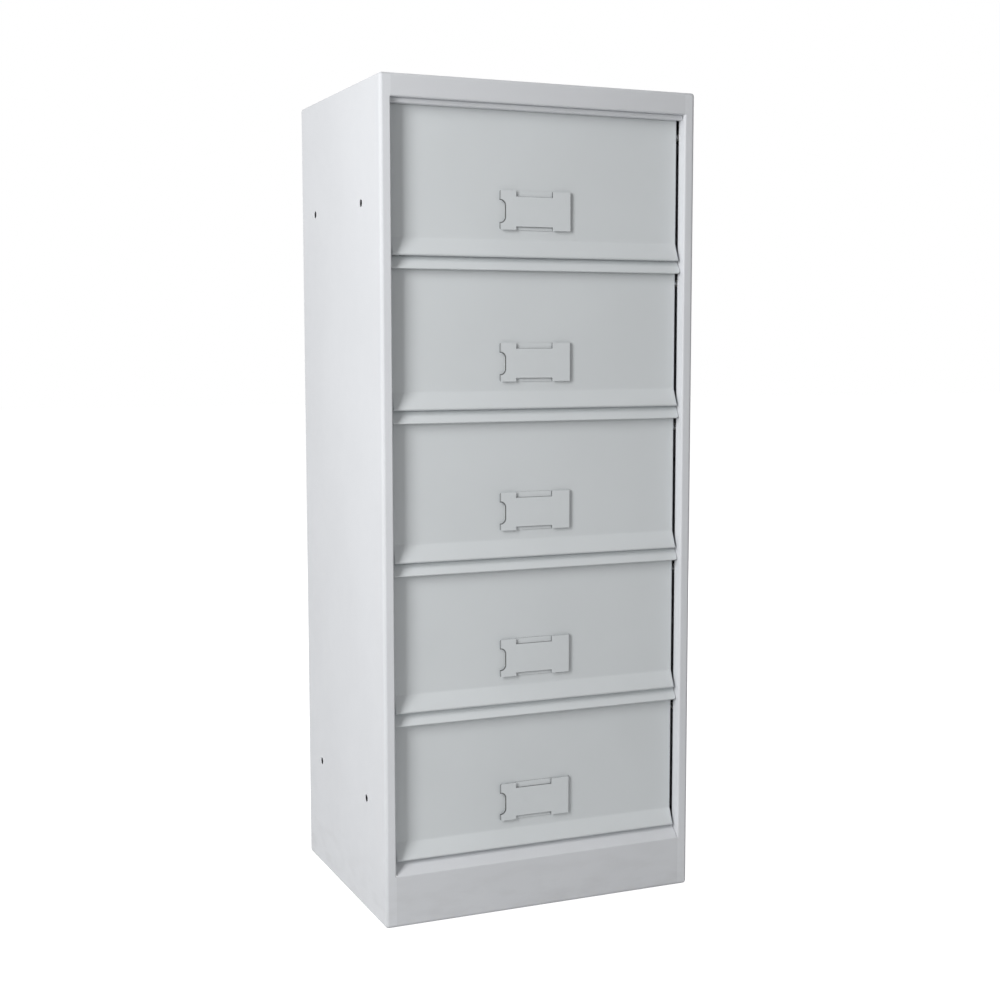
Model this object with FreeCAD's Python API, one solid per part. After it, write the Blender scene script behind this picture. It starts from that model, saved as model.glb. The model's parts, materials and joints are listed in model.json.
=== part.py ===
"""Sheet-steel filing cabinet closed by five flaps that lift and slide back under the shelves.

Millimetres. X runs along the width, Y from the front to the back, Z up. The origin is at the
middle of the footprint, on the floor.
"""
import FreeCAD, Part
import math
import os

Vector = FreeCAD.Vector

# Overall size of the cabinet
width = 540.0
depth = 420.0
height = 1320.0
compartments = 5

# Sheet metal
sheet = 1.0
bend = 1.5
tight_bend = 0.5
corner_bend = 4.5
weld_gap = 1.0

# Carcass
stile_width = 18.0
return_depth = 20.0
fascia_height = 35.0
fascia_return = 22.0
header_setback = 8.0
header_height = 8.0
header_flange = 10.0
plinth_height = 82.0
floor_flange = 18.0
rear_flange = 18.0
lap_width = 12.0
lap_inset = 8.0
top_space = 53.0
rail_leg = 25.0

# Joining holes in the sides
hole_radius = 6.0
hole_from_front = 93.0
hole_from_back = 80.0
hole_from_end = 186.5

# Shelves, and the cross rails under their front edges, whose sloping noses show between the flaps
rail_flange = 13.0
nose_drop = 20.0
nose_setback = 8.0
nose_return = 8.0
nose_corner = 6.0
shelf_flange = 12.0
notch_gap = 1.5

# Flaps
flap_side_gap = 4.0
flap_top_cover = 2.0
flap_sill_gap = 0.5
flap_rim = 12.0
lip_height = 28.0
lip_reach = 12.0
lip_hem = 14.0
lip_bend = 8.0

# Pivot pins, glides and guide channels
pin_radius = 2.5
pin_setback = 8.0
pin_below_nose = 15.0
pin_head_radius = 4.0
pin_head_height = 1.5
pin_collar_radius = 4.0
pin_chamfer = 0.5
glide_length = 11.0
glide_height = 11.4
glide_width = 12.0
glide_chamfer = 0.8
guide_width = 15.0
grip_overhang = 23.5
stop_height = 6.0
running_clearance = 0.05
slide_clearance = 0.3
web_clearance = 1.0

# Label holders, a little left of the middle of each flap, and their cards
holder_width = 124.0
holder_above_middle = 32.5
holder_below_middle = 28.5
holder_waist_width = 63.0
holder_waist_shift = 2.5
holder_waist_height = 47.5
holder_stand = 3.0
holder_corner = 3.0
holder_offset = 6.0
holder_above_edge = 71.5
thumb_notch_depth = 9.0
thumb_notch_height = 34.0
thumb_notch_corner = 8.0
card_thickness = 0.4
card_margin = 1.0

# Rubber buffers behind the flaps' lower corners
buffer_radius = 5.0
buffer_height = 5.0
buffer_chamfer = 1.0
buffer_inset = 22.0

# Planes that several pieces share
front = -depth / 2
back = depth / 2
side = width / 2
side_inner = side - sheet
opening = side - stile_width
fascia_bottom = height - fascia_height
header_bottom = fascia_bottom - header_height
panel_front = back - 2 * sheet
outer_bend = bend + sheet
outer_corner = corner_bend + sheet
pitch = (height - top_space - plinth_height) / compartments
flap_face = front + return_depth
flap_half = opening - flap_side_gap
flap_rear = flap_face + flap_rim
lip_front = flap_face - lip_reach
hem_rear = lip_front + lip_hem
pin_y = flap_face + pin_setback
guide_front = pin_y - glide_length / 2 - slide_clearance - sheet
guide_edge = side_inner - guide_width
glide_outer = side_inner - sheet - web_clearance
glide_inner = glide_outer - glide_width


def nose_level(k):
    """Height of the nose's lower edge below compartment k, counted from the top, 1 upwards."""
    return plinth_height + pitch * (compartments - k)


def shelf_level(k):
    """Height of the floor of compartment k."""
    return nose_level(k) + nose_drop


def flap_bottom(k):
    return shelf_level(k) + flap_sill_gap


def flap_top(k):
    """The top edge hides behind the header or the nose above it."""
    cover = header_bottom if k == 1 else nose_level(k - 1)
    return cover + flap_top_cover


def pin_level(k):
    return nose_level(k - 1) - pin_below_nose


def travel():
    """How far the pins run back, until the open flap's lip stands out by the grip overhang."""
    reach = pin_level(1) - flap_bottom(1)
    return reach - (pin_y - front) - grip_overhang


# Planes in which sections are drawn

def across(x):
    """Section plane across the width: points are (y, z)."""
    return lambda y, z: Vector(x, y, z)


def level(z):
    """Horizontal section plane: points are (x, y)."""
    return lambda x, y: Vector(x, y, z)


def facing(y):
    """Section plane facing the front: points are (x, z)."""
    return lambda x, z: Vector(x, y, z)


# Outlines

def heading(start, end):
    dx = end[0] - start[0]
    dy = end[1] - start[1]
    length = math.hypot(dx, dy)
    return dx / length, dy / length


def offset_left(points, distance):
    """The open polyline moved to its left, with its corners mitred."""
    headings = [heading(a, b) for a, b in zip(points, points[1:])]
    normals = [(-dy, dx) for dx, dy in headings]
    normals = [normals[0]] + normals + [normals[-1]]
    moved = []
    for point, n, m in zip(points, normals, normals[1:]):
        scale = distance / (1 + n[0] * m[0] + n[1] * m[1])
        moved.append((point[0] + (n[0] + m[0]) * scale, point[1] + (n[1] + m[1]) * scale))
    return moved


def turns(points):
    """Signed turn at each inner corner of a polyline, positive to the left."""
    headings = [heading(a, b) for a, b in zip(points, points[1:])]
    return [math.atan2(a[0] * b[1] - a[1] * b[0], a[0] * b[0] + a[1] * b[1])
            for a, b in zip(headings, headings[1:])]


def rounded_edges(points, radii, plane):
    """Edges along an open polyline whose inner corners are rounded by the given radii."""
    edges = []
    last = points[0]
    for corner, before, after, radius, turn in zip(points[1:], points, points[2:], radii, turns(points)):
        a = heading(corner, before)
        b = heading(corner, after)
        tangent = radius * math.tan(abs(turn) / 2)
        start = (corner[0] + a[0] * tangent, corner[1] + a[1] * tangent)
        end = (corner[0] + b[0] * tangent, corner[1] + b[1] * tangent)
        edges.append(Part.LineSegment(plane(*last), plane(*start)).toShape())
        if radius > 0:
            bisector = heading((0, 0), (a[0] + b[0], a[1] + b[1]))
            to_middle = radius / math.cos(turn / 2) - radius
            middle = (corner[0] + bisector[0] * to_middle, corner[1] + bisector[1] * to_middle)
            edges.append(Part.Arc(plane(*start), plane(*middle), plane(*end)).toShape())
        last = end
    edges.append(Part.LineSegment(plane(*last), plane(*points[-1])).toShape())
    return edges


def folded(points, plane, along, radii=None):
    """A folded sheet. The points run along one face of it, and the sheet lies to their left.

    The radii are those of the insides of the bends.
    """
    angles = turns(points)
    radii = radii or [bend] * len(angles)
    other = offset_left(points, sheet)
    near = [r + sheet if turn > 0 else r for r, turn in zip(radii, angles)]
    far = [r if turn > 0 else r + sheet for r, turn in zip(radii, angles)]
    edges = rounded_edges(points, near, plane)
    edges.append(Part.LineSegment(plane(*points[-1]), plane(*other[-1])).toShape())
    edges += rounded_edges(other[::-1], far[::-1], plane)
    edges.append(Part.LineSegment(plane(*other[0]), plane(*points[0])).toShape())
    return Part.Face(Part.Wire(Part.__sortEdges__(edges))).extrude(along)


def block(x, y, z):
    """A box between pairs of limits."""
    corner = Vector(min(x), min(y), min(z))
    return Part.makeBox(abs(x[1] - x[0]), abs(y[1] - y[0]), abs(z[1] - z[0]), corner)


def cylinder_x(radius, x, y, z):
    """A cylinder along X between a pair of limits."""
    return Part.makeCylinder(radius, abs(x[1] - x[0]), Vector(min(x), y, z), Vector(1, 0, 0))


def joined(first, *others):
    return first.fuse(list(others)).removeSplitter()


def mirrored(shape):
    return shape.mirror(Vector(0, 0, 0), Vector(1, 0, 0))


def pair(shape):
    """A piece and its twin on the other side, as two solids."""
    return Part.makeCompound([shape, mirrored(shape)])


# Carcass

def rounded_carcass(inset, radius):
    box = block((-side + inset, side - inset), (front + inset, back - inset), (inset, height - inset))
    return box.makeFillet(radius, box.Edges)


def stile_return():
    """The stile's bend and the return beside the flaps, between the sill and the fascia."""
    outline = [(-opening - outer_bend - bend, front), (-opening, front), (-opening, front + return_depth)]
    return folded(outline, level(plinth_height), Vector(0, 0, fascia_bottom - plinth_height))


def left_side_panel():
    """One pan: side sheet, front stile with its return, and top, rear and floor flanges."""
    pan = rounded_carcass(0, outer_corner).cut(rounded_carcass(sheet, corner_bend))
    pan = pan.common(block((-side, -opening), (front, back), (0, height)))
    square_edge = block((-opening - outer_bend - bend, -opening), (front, front + sheet),
                        (plinth_height, fascia_bottom))
    pan = joined(pan.cut(square_edge), stile_return())
    for y in (front + hole_from_front, back - hole_from_back):
        for z in (hole_from_end, height - hole_from_end):
            pan = pan.cut(cylinder_x(hole_radius, (-side - sheet, -side + 2 * sheet), y, z))
    return pan


def front_laps(z):
    """Strips behind the stiles to which a front sheet's ends are welded."""
    lap = block((opening - lap_width, opening + lap_width), (front + sheet, front + 2 * sheet), z)
    return [lap, mirrored(lap)]


def top_panel():
    outline = [(back, height - rear_flange), (back, height), (front, height),
               (front, fascia_bottom), (front + fascia_return, fascia_bottom)]
    radii = [corner_bend, corner_bend, bend]
    cover = folded(outline, across(-opening), Vector(2 * opening, 0, 0), radii)
    lap = block((opening - lap_width, opening + lap_width), (front + lap_inset, back - lap_inset),
                (height - 2 * sheet, height - sheet))
    laps = [lap, mirrored(lap)] + front_laps((fascia_bottom + lap_inset, height - lap_inset))
    return joined(cover, *laps)


def header_rail():
    """The channel under the fascia, above the first flap."""
    face = front + header_setback
    rear = face + header_flange
    outline = [(rear, fascia_bottom), (face, fascia_bottom), (face, header_bottom), (rear, header_bottom)]
    half = opening - weld_gap
    return folded(outline, across(-half), Vector(2 * half, 0, 0))


def shelf(k):
    """A flat plate, as wide as the cabinet behind the stile returns."""
    z = shelf_level(k)
    half = opening - weld_gap
    start = flap_face + notch_gap
    plate = block((-side_inner, side_inner), (start, panel_front - outer_corner), (z - sheet, z))
    rear_edge = block((-half, half), (start, panel_front), (z - sheet, z))
    return joined(plate, rear_edge)


def shelf_flanges(k):
    """Strips under a shelf's side and rear edges, by which it is welded to the sides and the back."""
    heights = (shelf_level(k) - shelf_flange, shelf_level(k) - sheet)
    half = opening - weld_gap
    side_strip = block((side_inner - sheet, side_inner),
                       (flap_face + notch_gap, panel_front - outer_corner), heights)
    rear_strip = block((-half, half), (panel_front - sheet, panel_front), heights)
    return Part.makeCompound([side_strip, mirrored(side_strip), rear_strip])


def front_rail(k):
    """The cross rail welded under a shelf's front edge: a flange, the sloping nose and its return."""
    top = shelf_level(k) - sheet
    low = nose_level(k)
    tip = front + nose_setback
    outline = [(flap_face + rail_flange, top), (flap_face, top), (tip, low), (tip + nose_return, low)]
    half = opening - weld_gap
    rail = folded(outline, across(-half), Vector(2 * half, 0, 0), [bend, tight_bend])
    corner = block((half - nose_corner, half), (front, flap_face), (low - sheet, low + nose_corner))
    round_end = Part.makeCylinder(nose_corner, return_depth,
                                  Vector(half - nose_corner, front, low + nose_corner), Vector(0, 1, 0))
    cutter = corner.cut(round_end)
    return rail.cut([cutter, mirrored(cutter)])


def floor_wings(z):
    """The part of the lowest floor behind the stile returns, as wide as the cabinet, with side flanges."""
    outline = [(side_inner, z - shelf_flange), (side_inner, z), (-side_inner, z),
               (-side_inner, z - shelf_flange)]
    start = flap_face + notch_gap
    end = panel_front - outer_corner
    return folded(outline, facing(start), Vector(0, end - start, 0))


def base_pan():
    """Plinth, sloping sill and the floor of the lowest compartment, one folded sheet."""
    z = shelf_level(compartments)
    outline = [(panel_front, z - shelf_flange), (panel_front, z), (flap_face, z),
               (front, plinth_height), (front, 0), (front + floor_flange, 0)]
    radii = [bend, bend, bend, corner_bend]
    pan = folded(outline, across(-opening), Vector(2 * opening, 0, 0), radii)
    room = block((opening - weld_gap, opening), (front, flap_face + notch_gap), (plinth_height, z))
    pan = pan.cut([room, mirrored(room)])
    return joined(pan, floor_wings(z), *front_laps((lap_inset, plinth_height - lap_inset)))


def back_panel():
    edge = outer_corner
    return block((-side + edge, side - edge), (panel_front, back - sheet), (edge, height - edge))


def rear_base_rail():
    outline = [(panel_front - rail_leg, sheet), (panel_front, sheet), (panel_front, sheet + rail_leg)]
    half = side - outer_corner
    return folded(outline, across(-half), Vector(2 * half, 0, 0), [corner_bend])


def left_guide(k):
    """The channel in which a flap's left glide runs, with a stop tab at each end."""
    z = pin_level(k)
    room = glide_height / 2 + slide_clearance
    outline = [(-guide_edge, z + room + sheet), (-side_inner, z + room + sheet),
               (-side_inner, z - room - sheet), (-guide_edge, z - room - sheet)]
    stop = pin_y + travel() + glide_length / 2 + slide_clearance
    channel = folded(outline, facing(guide_front), Vector(0, stop + sheet - guide_front, 0))
    rear_tab = block((-side_inner + sheet, -guide_edge), (stop, stop + sheet), (z - room, z + room))
    tab_y = pin_y - glide_length / 2 - slide_clearance
    front_tab = block((-side_inner + sheet, -guide_edge), (tab_y - sheet, tab_y),
                      (z - room, z - room + stop_height))
    return joined(channel, rear_tab, front_tab)


# Flaps and what they carry

def flap_form(k, inset, rear, hem, radius):
    """The flap's outer form, or with an inset the hollow behind its sheet."""
    low = flap_bottom(k) + inset
    top = flap_top(k) - inset
    slope = lip_reach / lip_height
    face = flap_face + inset
    foot = lip_front + inset * (slope + math.hypot(1, slope))
    crease = low + (face - foot) / slope
    outline = [(hem, low + sheet), (hem, low), (foot, low), (face, crease), (face, top), (rear, top),
               (rear, low + lip_height)]
    half = flap_half - inset
    edges = rounded_edges(outline, [0, 0, lip_bend + inset, 0, 0], across(-half))
    edges.append(Part.LineSegment(edges[-1].Vertexes[1].Point, edges[0].Vertexes[0].Point).toShape())
    solid = Part.Face(Part.Wire(Part.__sortEdges__(edges))).extrude(Vector(2 * half, 0, 0))
    return solid.makeFillet(radius, front_rim(solid, face, low, top))


def front_rim(solid, face, low, top):
    """The edges round the front of a flap's form, where its rims are folded back."""
    near = [edge for edge in solid.Edges if edge.BoundBox.YMax < face + sheet / 2]
    return [edge for edge in near if edge.BoundBox.ZLength > sheet
            or edge.BoundBox.ZMin < low + sheet / 2 or edge.BoundBox.ZMax > top - sheet / 2]


def flap(k):
    outer = flap_form(k, 0, flap_rear, hem_rear, outer_bend)
    inner = flap_form(k, sheet, flap_rear + flap_rim, flap_rear, bend)
    tray = outer.cut(inner)
    pin_hole = cylinder_x(pin_radius, (-side, side), pin_y, pin_level(k))
    return tray.cut(pin_hole)


def rim_at(solid, x):
    """The edges of a turned solid that lie in one plane across its axis."""
    return [edge for edge in solid.Edges
            if abs(edge.BoundBox.XMin - x) < pin_chamfer and abs(edge.BoundBox.XMax - x) < pin_chamfer]


def pivot_pins(k):
    """Shouldered pins riveted into the flap's side rims, one at each end."""
    z = pin_level(k)
    rim_inner = flap_half - sheet
    collar_end = glide_inner - slide_clearance
    tip = glide_outer - slide_clearance
    head = cylinder_x(pin_head_radius, (rim_inner - pin_head_height, rim_inner), pin_y, z)
    head = head.makeChamfer(pin_chamfer, rim_at(head, rim_inner - pin_head_height))
    shank = cylinder_x(pin_radius, (rim_inner - pin_head_height, tip), pin_y, z)
    shank = shank.makeChamfer(pin_chamfer, rim_at(shank, tip))
    collar = cylinder_x(pin_collar_radius, (flap_half, collar_end), pin_y, z)
    return pair(joined(head, shank, collar))


def glides(k):
    """Nylon sliders in which the pins turn."""
    z = pin_level(k)
    body = block((glide_inner, glide_outer), (pin_y - glide_length / 2, pin_y + glide_length / 2),
                 (z - glide_height / 2, z + glide_height / 2))
    body = body.makeChamfer(glide_chamfer, body.Edges)
    bore = cylinder_x(pin_radius + running_clearance, (glide_inner - sheet, glide_outer + sheet), pin_y, z)
    return pair(body.cut(bore))


def label_holder(k):
    """A pressed plate: its waist stands on two welded feet, and its left end is open."""
    z = flap_bottom(k) + holder_above_edge
    face = flap_face - sheet
    plate = face - holder_stand
    top = z + holder_above_middle
    low = z - holder_below_middle
    shoulder = holder_waist_height / 2
    left = -holder_width / 2 - holder_offset
    right = holder_width / 2 - holder_offset
    waist_left = -holder_waist_width / 2 - holder_offset - holder_waist_shift
    waist_right = waist_left + holder_waist_width
    hat = [(face, top), (face, z + shoulder), (plate, z + shoulder), (plate, z - shoulder),
           (face, z - shoulder), (face, low)]
    middle = folded(hat, across(waist_left), Vector(holder_waist_width, 0, 0), [tight_bend] * 4)
    closed_end = [(waist_right, plate), (right, plate), (right, flap_face)]
    right_end = folded(closed_end, level(low), Vector(0, 0, top - low))
    left_end = block((left, waist_left), (plate, plate + sheet), (low, top))
    corners = [edge for edge in left_end.Edges
               if edge.BoundBox.XMax < left + sheet and edge.BoundBox.YLength > sheet / 2]
    left_end = left_end.makeFillet(holder_corner, corners)
    notch = block((left - thumb_notch_depth, left + thumb_notch_depth), (plate - sheet, plate + 2 * sheet),
                  (z - thumb_notch_height / 2, z + thumb_notch_height / 2))
    inner_corners = [edge for edge in notch.Edges
                     if edge.BoundBox.XMin > left and edge.BoundBox.YLength > sheet]
    notch = notch.makeFillet(thumb_notch_corner, inner_corners)
    return joined(middle, right_end, left_end.cut(notch))


def label_card(k):
    z = flap_bottom(k) + holder_above_edge
    half_height = holder_waist_height / 2 - sheet - card_margin
    left = thumb_notch_depth + card_margin - holder_width / 2 - holder_offset
    right = holder_width / 2 - holder_offset - sheet - card_margin
    return block((left, right), (flap_face - card_thickness, flap_face), (z - half_height, z + half_height))


def buffers(k):
    """Rubber buffers glued to the shelf, against which the flap's lower edge closes."""
    z = shelf_level(k)
    x = flap_half - buffer_inset
    y = hem_rear + slide_clearance + buffer_radius
    body = Part.makeCylinder(buffer_radius, buffer_height, Vector(x, y, z))
    rim = [edge for edge in body.Edges if edge.BoundBox.ZMin > z + buffer_height / 2]
    return pair(body.makeChamfer(buffer_chamfer, rim))


def pieces():
    """Every piece of the cabinet by name."""
    made = {
        "left_side_panel": left_side_panel(),
        "right_side_panel": mirrored(left_side_panel()),
        "top_panel": top_panel(),
        "header_rail": header_rail(),
        "base_pan": base_pan(),
        "back_panel": back_panel(),
        "rear_base_rail": rear_base_rail(),
    }
    for k in range(1, compartments):
        made[f"shelf_{k}"] = shelf(k)
        made[f"shelf_flanges_{k}"] = shelf_flanges(k)
        made[f"front_rail_{k}"] = front_rail(k)
    for k in range(1, compartments + 1):
        made[f"guide_left_{k}"] = left_guide(k)
        made[f"guide_right_{k}"] = mirrored(left_guide(k))
        made[f"flap_{k}"] = flap(k)
        made[f"pivot_pins_{k}"] = pivot_pins(k)
        made[f"glides_{k}"] = glides(k)
        made[f"label_holder_{k}"] = label_holder(k)
        made[f"label_card_{k}"] = label_card(k)
        made[f"buffers_{k}"] = buffers(k)
    return made


def main():
    os.makedirs("parts", exist_ok=True)
    for name, shape in pieces().items():
        shape.exportStep(f"parts/{name}.step")
        print(name, "solids", len(shape.Solids), "valid", shape.isValid(), "volume", round(shape.Volume))
    print("pitch", pitch, "travel", travel())


main()
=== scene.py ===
import json
import math
import bpy
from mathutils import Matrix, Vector


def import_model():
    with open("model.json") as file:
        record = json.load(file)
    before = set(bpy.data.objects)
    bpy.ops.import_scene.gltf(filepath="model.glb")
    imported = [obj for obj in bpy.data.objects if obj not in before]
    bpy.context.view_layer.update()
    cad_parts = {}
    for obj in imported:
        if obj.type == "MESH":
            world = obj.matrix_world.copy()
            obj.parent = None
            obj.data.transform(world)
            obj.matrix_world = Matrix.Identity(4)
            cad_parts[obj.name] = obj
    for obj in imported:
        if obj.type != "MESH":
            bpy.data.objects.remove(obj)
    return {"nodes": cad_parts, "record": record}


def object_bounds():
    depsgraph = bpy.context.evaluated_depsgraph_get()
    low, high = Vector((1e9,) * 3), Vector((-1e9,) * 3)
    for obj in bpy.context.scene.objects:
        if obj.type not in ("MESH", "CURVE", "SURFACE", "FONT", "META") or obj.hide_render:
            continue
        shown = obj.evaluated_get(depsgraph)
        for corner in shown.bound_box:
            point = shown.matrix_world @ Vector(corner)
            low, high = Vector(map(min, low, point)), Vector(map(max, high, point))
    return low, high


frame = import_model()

cad_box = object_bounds()

# Colours, linear
CARCASS_COLOUR = (0.688, 0.702, 0.726)
FLAP_COLOUR = (0.688, 0.717, 0.731)
SCUFF_COLOUR = (0.300, 0.295, 0.280)
ZINC_COLOUR = (0.560, 0.575, 0.590)
NYLON_COLOUR = (0.800, 0.780, 0.720)
CARD_COLOUR = (0.760, 0.760, 0.735)
RUBBER_COLOUR = (0.022, 0.022, 0.024)
WHITE = (1.0, 1.0, 1.0, 1.0)

# Painted shade and light by how a face is turned to the lamps: how light the paint is on faces turned
# sideways or up, how light on faces square to the front or the back, and how near to square a face is
# where it starts to change from one to the other. The side panels get a painted darker side and
# lighter front; the label holders get painted shadow on their edge faces
SIDE_PAINTED_SHADE = (0.92, 1.07, 0.80)
HOLDER_PAINTED_SHADE = (0.12, 1.00, 0.30)

# Painted shadow: a dark line round the thumb notch in the left end of each label holder, standing in
# for the
# shade under the raised plate, metres: the notch of the lowest holder, the height from one holder to
# the next, how far the line is full and where it has faded, and how dark the painted shadow is on the
# rest of that end beside it
NOTCH_MIDDLE = (-0.068, 0.0, 0.174)
NOTCH_STRAIGHT = (0.001, 0.0, 0.009)
NOTCH_CORNER = 0.008
HOLDER_PITCH = 0.237
RIM_FULL = 0.0008
RIM_FADED = 0.0022
END_PAINTED_SHADOW = 0.6

# Camera, metres in the frame of the cabinet
CAMERA_PLACE = Vector((-1.0434, -2.4741, 0.9182))
CAMERA_LOOK = Vector((0.3913, 0.9148, -0.1000))
CAMERA_ROLL = -0.000867
CAMERA_LENS = 56.49
CAMERA_REACH = 100.0
SENSOR = 36.0

# Lamps: degrees from the front round to the left, metres and watts
KEY = {"azimuth": 60, "distance": 2.8, "height": 1.75, "size": (0.8, 2.4), "power": 77.0}
FILL = {"azimuth": -135, "distance": 3.6, "height": 2.0, "size": (2.5, 2.5), "power": 45.0}

# Surroundings
AMBIENT = 0.32
FLOOR_BOUNCE = 0.6
FLOOR_GLOW = 0.85
FLOOR_SIZE = 40.0


class Nodes:
    """A material's node tree, with short calls to add to it."""

    # The mix node has its colour sockets after those for numbers and vectors
    MIX_FIRST = 6
    MIX_SECOND = 7
    MIX_RESULT = 2

    def __init__(self, name):
        self.material = bpy.data.materials.new(name)
        self.material.use_nodes = True
        self.tree = self.material.node_tree
        self.tree.nodes.clear()
        self.output = self.add("ShaderNodeOutputMaterial")

    def add(self, kind, **settings):
        node = self.tree.nodes.new(kind)
        for key, value in settings.items():
            setattr(node, key, value)
        return node

    def link(self, source, target):
        self.tree.links.new(source, target)

    def coordinate(self, kind):
        return self.add("ShaderNodeTexCoord").outputs[kind]

    def part(self, vector, axis):
        """One of a vector's three numbers."""
        node = self.add("ShaderNodeSeparateXYZ")
        self.link(vector, node.inputs["Vector"])
        return node.outputs[axis]

    def stretched(self, place, scale):
        mapping = self.add("ShaderNodeMapping")
        mapping.inputs["Scale"].default_value = scale
        self.link(place, mapping.inputs["Vector"])
        return mapping.outputs["Vector"]

    def noise(self, place, scale, detail=3.0):
        node = self.add("ShaderNodeTexNoise")
        node.inputs["Scale"].default_value = scale
        node.inputs["Detail"].default_value = detail
        self.link(place, node.inputs["Vector"])
        return node.outputs["Fac"]

    def spread(self, value, low=0.0, high=1.0, start=0.35, end=0.65):
        """The value's range from start to end spread over low to high."""
        node = self.add("ShaderNodeMapRange")
        node.inputs["From Min"].default_value = start
        node.inputs["From Max"].default_value = end
        node.inputs["To Min"].default_value = low
        node.inputs["To Max"].default_value = high
        self.link(value, node.inputs["Value"])
        return node.outputs["Result"]

    def product(self, first, second):
        node = self.add("ShaderNodeMath", operation="MULTIPLY")
        self.link(first, node.inputs[0])
        self.link(second, node.inputs[1])
        return node.outputs["Value"]

    def mixed(self, factor, first, second):
        """A colour between two colours, either of which may be a socket."""
        node = self.add("ShaderNodeMix", data_type="RGBA")
        self.link(factor, node.inputs["Factor"])
        for place, value in ((self.MIX_FIRST, first), (self.MIX_SECOND, second)):
            if isinstance(value, bpy.types.NodeSocket):
                self.link(value, node.inputs[place])
            else:
                node.inputs[place].default_value = (*value, 1.0)
        return node.outputs[self.MIX_RESULT]

    def scaled(self, colour, factor):
        node = self.add("ShaderNodeVectorMath", operation="SCALE")
        self.link(colour, node.inputs[0])
        self.link(factor, node.inputs["Scale"])
        return node.outputs["Vector"]

    def changed(self, vector, operation, *values):
        """A vector after one step of vector arithmetic."""
        node = self.add("ShaderNodeVectorMath", operation=operation)
        self.link(vector, node.inputs[0])
        for socket, value in zip(node.inputs[1:], values):
            socket.default_value = value
        return node.outputs["Vector"]

    def bump(self, height, distance, strength=1.0, normal=None):
        node = self.add("ShaderNodeBump")
        node.inputs["Strength"].default_value = strength
        node.inputs["Distance"].default_value = distance
        self.link(height, node.inputs["Height"])
        if normal:
            self.link(normal, node.inputs["Normal"])
        return node.outputs["Normal"]

    def surface(self, colour, roughness, normal, metallic=0.0, specular=0.5):
        shader = self.add("ShaderNodeBsdfPrincipled")
        shader.inputs["Metallic"].default_value = metallic
        shader.inputs["Specular IOR Level"].default_value = specular
        self.link(colour, shader.inputs["Base Color"])
        self.link(roughness, shader.inputs["Roughness"])
        self.link(normal, shader.inputs["Normal"])
        self.link(shader.outputs["BSDF"], self.output.inputs["Surface"])
        return self.material


def shade(colour, factor):
    return tuple(channel * factor for channel in colour)


def painted_turn_shade(n, base, painted_shade):
    """Painted shade and light: the colour made lighter or darker by the way a face is turned, standing
    in for how the lamps fall on it.
    """
    away, square, start = painted_shade
    turned = n.add("ShaderNodeMath", operation="ABSOLUTE")
    n.link(n.part(n.coordinate("Normal"), "Y"), turned.inputs[0])
    factor = n.spread(turned.outputs["Value"], low=away, high=square, start=start, end=1.0)
    return n.scaled(base, factor)


def painted_notch_shadow(n, place):
    """Painted shadow: one on the rim of a label holder's thumb notch, less on its left end, zero away
    from them, standing in for the shade under the raised plate.
    """
    half = HOLDER_PITCH / 2
    place = n.changed(place, "SUBTRACT", NOTCH_MIDDLE)
    place = n.changed(place, "WRAP", (1.0, 1.0, half), (-1.0, -1.0, -half))
    place = n.changed(n.changed(place, "ABSOLUTE"), "MULTIPLY", (1.0, 0.0, 1.0))
    end = n.spread(n.part(place, "X"), low=END_PAINTED_SHADOW, high=0.0, start=RIM_FULL, end=RIM_FADED)
    place = n.changed(n.changed(place, "SUBTRACT", NOTCH_STRAIGHT), "MAXIMUM", (0.0, 0.0, 0.0))
    distance = n.add("ShaderNodeVectorMath", operation="LENGTH")
    n.link(place, distance.inputs[0])
    rim = n.spread(distance.outputs["Value"], low=1.0, high=0.0,
                   start=NOTCH_CORNER + RIM_FULL, end=NOTCH_CORNER + RIM_FADED)
    either = n.add("ShaderNodeMath", operation="MAXIMUM")
    n.link(end, either.inputs[0])
    n.link(rim, either.inputs[1])
    return either.outputs["Value"]


def scuffing(n, place):
    """How rubbed and dusty the paint is: most at the floor, none above a hand's breadth."""
    low = n.spread(n.part(place, "Z"), low=0.16, high=0.0, start=0.0, end=0.12)
    streaks = n.noise(n.stretched(place, (1.0, 1.0, 3.0)), scale=18.0, detail=6.0)
    return n.product(low, n.spread(streaks, start=0.45, end=0.75))


def enamel(name, colour, painted_shade=None, with_notch_shadow=False):
    """Stoved enamel: faint clouding, specks, orange peel, and scuffs near the floor; on request also
    painted shade by how a face is turned and a painted shadow round the label holder's thumb notch.
    """
    n = Nodes(name)
    place = n.coordinate("Object")
    clouds = n.spread(n.noise(place, scale=5.0))
    base = n.mixed(clouds, shade(colour, 0.985), shade(colour, 1.015))
    specks = n.spread(n.noise(place, scale=900.0, detail=1.0), high=0.06, start=0.62, end=0.75)
    base = n.mixed(specks, base, shade(colour, 0.6))
    base = n.mixed(scuffing(n, place), base, SCUFF_COLOUR)
    # Painted shadow: the notch rim and the holder's left end darkened to stand in for the shade under
    # the plate
    if with_notch_shadow:
        base = n.mixed(painted_notch_shadow(n, place), base, shade(colour, 0.15))
    # Painted shade and light: faces made darker or lighter by how they are turned
    if painted_shade:
        base = painted_turn_shade(n, base, painted_shade)
    rough = n.spread(n.noise(place, scale=40.0, detail=4.0), low=0.48, high=0.58)
    peel = n.bump(n.noise(place, scale=420.0, detail=2.0), distance=0.00012, strength=0.35)
    waves = n.bump(n.noise(place, scale=9.0, detail=1.0), distance=0.0012, strength=0.25, normal=peel)
    return n.surface(base, rough, waves, specular=0.25)


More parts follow.
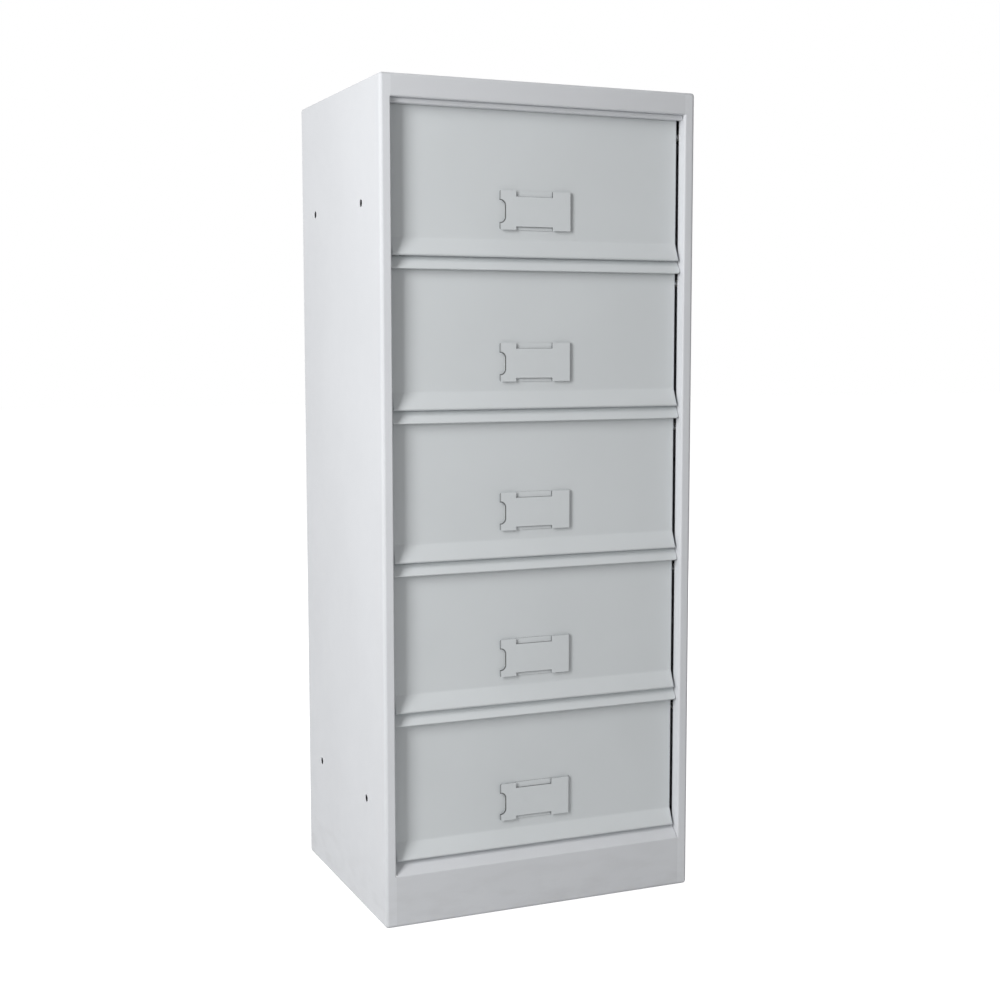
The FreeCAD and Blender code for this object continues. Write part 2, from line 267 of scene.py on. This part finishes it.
def zinc():
    """Bright zinc plating, with a drawn grain along the sheet and dull patches."""
    n = Nodes("zinc_plating")
    place = n.coordinate("Object")
    grain = n.noise(n.stretched(place, (900.0, 12.0, 900.0)), scale=1.0, detail=2.0)
    patches = n.noise(place, scale=60.0, detail=5.0)
    base = n.mixed(n.spread(patches), shade(ZINC_COLOUR, 0.88), shade(ZINC_COLOUR, 1.1))
    rough = n.spread(patches, low=0.28, high=0.48)
    return n.surface(base, rough, n.bump(grain, distance=0.00003, strength=0.5), metallic=0.9)


def nylon():
    n = Nodes("nylon")
    place = n.coordinate("Object")
    base = n.mixed(n.spread(n.noise(place, scale=150.0)), shade(NYLON_COLOUR, 0.95), NYLON_COLOUR)
    rough = n.spread(n.noise(place, scale=500.0), low=0.42, high=0.55)
    return n.surface(base, rough, n.bump(n.noise(place, scale=1500.0), distance=0.00002, strength=0.4))


def card():
    """Paper card: fibres and a slightly uneven tone."""
    n = Nodes("paper_card")
    place = n.coordinate("Object")
    fibres = n.noise(n.stretched(place, (900.0, 900.0, 2600.0)), scale=1.0, detail=4.0)
    base = n.mixed(n.spread(fibres), shade(CARD_COLOUR, 0.93), CARD_COLOUR)
    rough = n.spread(fibres, low=0.75, high=0.9)
    return n.surface(base, rough, n.bump(fibres, distance=0.00003, strength=0.5), specular=0.2)


def rubber():
    n = Nodes("buffer_rubber")
    place = n.coordinate("Object")
    bloom = n.noise(place, scale=300.0)
    base = n.mixed(n.spread(bloom), RUBBER_COLOUR, shade(RUBBER_COLOUR, 1.8))
    rough = n.spread(bloom, low=0.6, high=0.8)
    return n.surface(base, rough, n.bump(n.noise(place, scale=1200.0), distance=0.00004, strength=0.5))


def dress_cad():
    """Gives each node its finish, by its slot in the record or by what it is."""
    finishes = {
        "carcass_enamel": enamel("carcass_enamel_finish", CARCASS_COLOUR),
        "flap_enamel": enamel("flap_enamel_finish", FLAP_COLOUR),
        "zinc_plate": zinc(),
        "nylon": nylon(),
        "card": card(),
        "buffer_rubber": rubber(),
    }
    # Copies of the enamel with painted shade: side panels by how their faces turn, label holders with
    # dark edge faces and a painted notch shadow
    side_painted_shade_finish = enamel("side_panel_painted_shade_finish", CARCASS_COLOUR, SIDE_PAINTED_SHADE)
    holder_painted_shade_finish = enamel("label_holder_painted_shade_finish", FLAP_COLOUR, HOLDER_PAINTED_SHADE, with_notch_shadow=True)
    slots = {part["node"]: part["material_slot"] for part in frame["record"]["subparts"]}
    for name, node in frame["nodes"].items():
        finish = finishes[slots[name]]
        if name.endswith("side_panel"):
            finish = side_painted_shade_finish
        elif name.startswith("label_holder"):
            finish = holder_painted_shade_finish
        for slot in node.material_slots:
            slot.material = finish


def camera():
    data = bpy.data.cameras.new("camera")
    data.lens = CAMERA_LENS
    data.sensor_width = SENSOR
    data.clip_end = CAMERA_REACH
    eye = bpy.data.objects.new("camera", data)
    eye.location = CAMERA_PLACE
    eye.rotation_euler = CAMERA_LOOK.to_track_quat("-Z", "Y").to_euler()
    eye.rotation_euler.rotate_axis("Z", CAMERA_ROLL)
    bpy.context.scene.collection.objects.link(eye)
    bpy.context.scene.camera = eye


def soft_box(name, azimuth, distance, height, size, power):
    """A lamp aimed at the middle of the cabinet."""
    data = bpy.data.lights.new(name, "AREA")
    data.shape = "RECTANGLE"
    data.size, data.size_y = size
    data.energy = power
    lamp = bpy.data.objects.new(name, data)
    turn = math.radians(azimuth)
    lamp.location = (-math.sin(turn) * distance, -math.cos(turn) * distance, height)
    middle = Vector((0.0, 0.0, cad_box[1].z / 2))
    lamp.rotation_euler = (middle - lamp.location).to_track_quat("-Z", "Y").to_euler()
    bpy.context.scene.collection.objects.link(lamp)


def seen_rays(tree):
    """One where the ray comes straight from the camera, a mirror or glass."""
    path = tree.nodes.new("ShaderNodeLightPath")
    total = path.outputs["Is Camera Ray"]
    for name in ("Is Glossy Ray", "Is Transmission Ray"):
        either = tree.nodes.new("ShaderNodeMath")
        either.operation = "MAXIMUM"
        tree.links.new(total, either.inputs[0])
        tree.links.new(path.outputs[name], either.inputs[1])
        total = either.outputs["Value"]
    return total


def world():
    """Even light from all round, and white where it is seen."""
    scene_world = bpy.data.worlds.new("studio")
    bpy.context.scene.world = scene_world
    scene_world.use_nodes = True
    tree = scene_world.node_tree
    tree.nodes.clear()
    strength = tree.nodes.new("ShaderNodeMapRange")
    strength.inputs["To Min"].default_value = AMBIENT
    strength.inputs["To Max"].default_value = 1.0
    tree.links.new(seen_rays(tree), strength.inputs["Value"])
    background = tree.nodes.new("ShaderNodeBackground")
    background.inputs["Color"].default_value = WHITE
    tree.links.new(strength.outputs["Result"], background.inputs["Strength"])
    output = tree.nodes.new("ShaderNodeOutputWorld")
    tree.links.new(background.outputs["Background"], output.inputs["Surface"])


def floor():
    """A pale floor that shows white where nothing shades it."""
    half = FLOOR_SIZE / 2
    corners = [(-half, -half, 0), (half, -half, 0), (half, half, 0), (-half, half, 0)]
    mesh = bpy.data.meshes.new("floor")
    mesh.from_pydata(corners, [], [(0, 1, 2, 3)])
    ground = bpy.data.objects.new("floor", mesh)
    bpy.context.scene.collection.objects.link(ground)
    n = Nodes("floor")
    diffuse = n.add("ShaderNodeBsdfDiffuse")
    diffuse.inputs["Color"].default_value = (FLOOR_BOUNCE, FLOOR_BOUNCE, FLOOR_BOUNCE, 1.0)
    glow = n.add("ShaderNodeEmission")
    n.link(n.spread(seen_rays(n.tree), high=FLOOR_GLOW, start=0.0, end=1.0), glow.inputs["Strength"])
    both = n.add("ShaderNodeAddShader")
    n.link(diffuse.outputs["BSDF"], both.inputs[0])
    n.link(glow.outputs["Emission"], both.inputs[1])
    n.link(both.outputs["Shader"], n.output.inputs["Surface"])
    mesh.materials.append(n.material)


bpy.context.scene.view_settings.view_transform = "Standard"
dress_cad()
camera()
soft_box("key", **KEY)
soft_box("fill", **FILL)
world()
floor()
